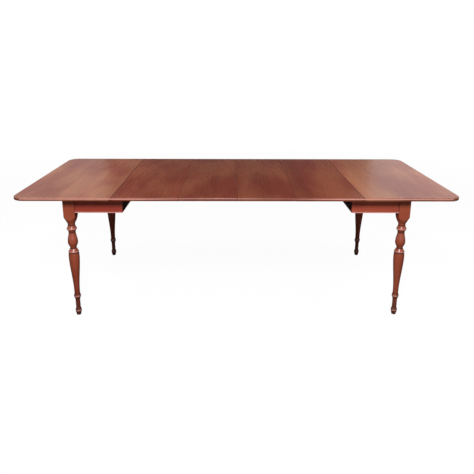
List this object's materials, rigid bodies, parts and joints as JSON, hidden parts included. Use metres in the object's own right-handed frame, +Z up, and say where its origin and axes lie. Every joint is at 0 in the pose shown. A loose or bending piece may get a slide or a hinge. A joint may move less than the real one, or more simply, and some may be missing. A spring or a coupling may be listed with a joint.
{
  "type": "drop-leaf extension dining table",
  "caption": "Long wooden dining table on turned legs, with drop leaves at the ends, extension leaves in the middle and leg frames that slide out under the drop leaves.",
  "frame": {"origin": "on the floor below the middle of the top, with both extension leaves in and the leg frames pulled out", "axes": "+X along the table to the right, +Y to the back, +Z up"},
  "size_m": [2.5, 1.118, 0.7493],
  "materials": {
    "top_wood": "satin lacquered cherry",
    "frame_wood": "satin lacquered cherry",
    "slide_wood": "plain planed hardwood",
    "hinge_steel": "zinc plated",
    "glide_plastic": "dark nylon"
  },
  "bodies": {
    "slides": {"front_centre_rail": "slide_wood", "back_centre_rail": "slide_wood", "centre_stop_pins": "hinge_steel", "crossbars": "slide_wood", "crossbar_screws": "hinge_steel"},
    "left_extension": {"left_extension_leaf": "top_wood", "extension_leaf_pins": "slide_wood"},
    "right_extension": {"right_extension_leaf": "top_wood"},
    "left_top": {"left_top_half": "top_wood", "left_table_pins": "slide_wood", "left_front_top_rail": "slide_wood", "left_back_top_rail": "slide_wood", "left_top_rail_screws": "hinge_steel", "left_runner_stop_pins": "hinge_steel", "left_hinge_top_plates": "hinge_steel", "left_hinge_pins": "hinge_steel", "left_hinge_top_screws": "hinge_steel"},
    "left_leaf": {"left_drop_leaf": "top_wood", "left_hinge_leaf_plates": "hinge_steel", "left_hinge_leaf_screws": "hinge_steel"},
    "left_legs": {"left_front_leg": "frame_wood", "left_back_leg": "frame_wood", "left_front_apron": "frame_wood", "left_back_apron": "frame_wood", "left_end_rail": "frame_wood", "left_cross_rail": "frame_wood", "left_front_runner": "slide_wood", "left_back_runner": "slide_wood", "left_corner_blocks": "slide_wood", "left_frame_screws": "hinge_steel", "left_glue_blocks": "slide_wood", "left_hanger_bolts": "hinge_steel", "left_hanger_nuts": "hinge_steel", "left_foot_glides": "glide_plastic"},
    "right_top": {"right_top_half": "top_wood", "right_table_pins": "slide_wood", "right_front_top_rail": "slide_wood", "right_back_top_rail": "slide_wood", "right_top_rail_screws": "hinge_steel", "right_runner_stop_pins": "hinge_steel", "right_hinge_top_plates": "hinge_steel", "right_hinge_pins": "hinge_steel", "right_hinge_top_screws": "hinge_steel"},
    "right_leaf": {"right_drop_leaf": "top_wood", "right_hinge_leaf_plates": "hinge_steel", "right_hinge_leaf_screws": "hinge_steel"},
    "right_legs": {"right_front_leg": "frame_wood", "right_back_leg": "frame_wood", "right_front_apron": "frame_wood", "right_back_apron": "frame_wood", "right_end_rail": "frame_wood", "right_cross_rail": "frame_wood", "right_front_runner": "slide_wood", "right_back_runner": "slide_wood", "right_corner_blocks": "slide_wood", "right_frame_screws": "hinge_steel", "right_glue_blocks": "slide_wood", "right_hanger_bolts": "hinge_steel", "right_hanger_nuts": "hinge_steel", "right_foot_glides": "glide_plastic"}
  },
  "joints": [
    {"name": "left_top_draw", "type": "slide", "parent": "slides", "child": "left_top", "axis": [-1, 0, 0], "range_m": [0, 0.03]},
    {"name": "left_legs_slide", "type": "slide", "parent": "left_top", "child": "left_legs", "axis": [1, 0, 0], "range_m": [0, 0.309]},
    {"name": "left_leaf_hinge", "type": "hinge", "parent": "left_top", "child": "left_leaf", "pos_m": [-0.698, 0, 0.7336], "axis": [0, 1, 0], "range_deg": [0, 3.5]},
    {"name": "right_top_draw", "type": "slide", "parent": "slides", "child": "right_top", "axis": [1, 0, 0], "range_m": [0, 0.03]},
    {"name": "right_legs_slide", "type": "slide", "parent": "right_top", "child": "right_legs", "axis": [-1, 0, 0], "range_m": [0, 0.309]},
    {"name": "right_leaf_hinge", "type": "hinge", "parent": "right_top", "child": "right_leaf", "pos_m": [0.698, 0, 0.7336], "axis": [0, -1, 0], "range_deg": [0, 3.5]},
    {"name": "left_extension_lift", "type": "slide", "parent": "left_top", "child": "left_extension", "axis": [0, 0, 1], "range_m": [0, 0.25]},
    {"name": "right_extension_lift", "type": "slide", "parent": "left_extension", "child": "right_extension", "axis": [0, 0, 1], "range_m": [0, 0.25]}
  ]
}
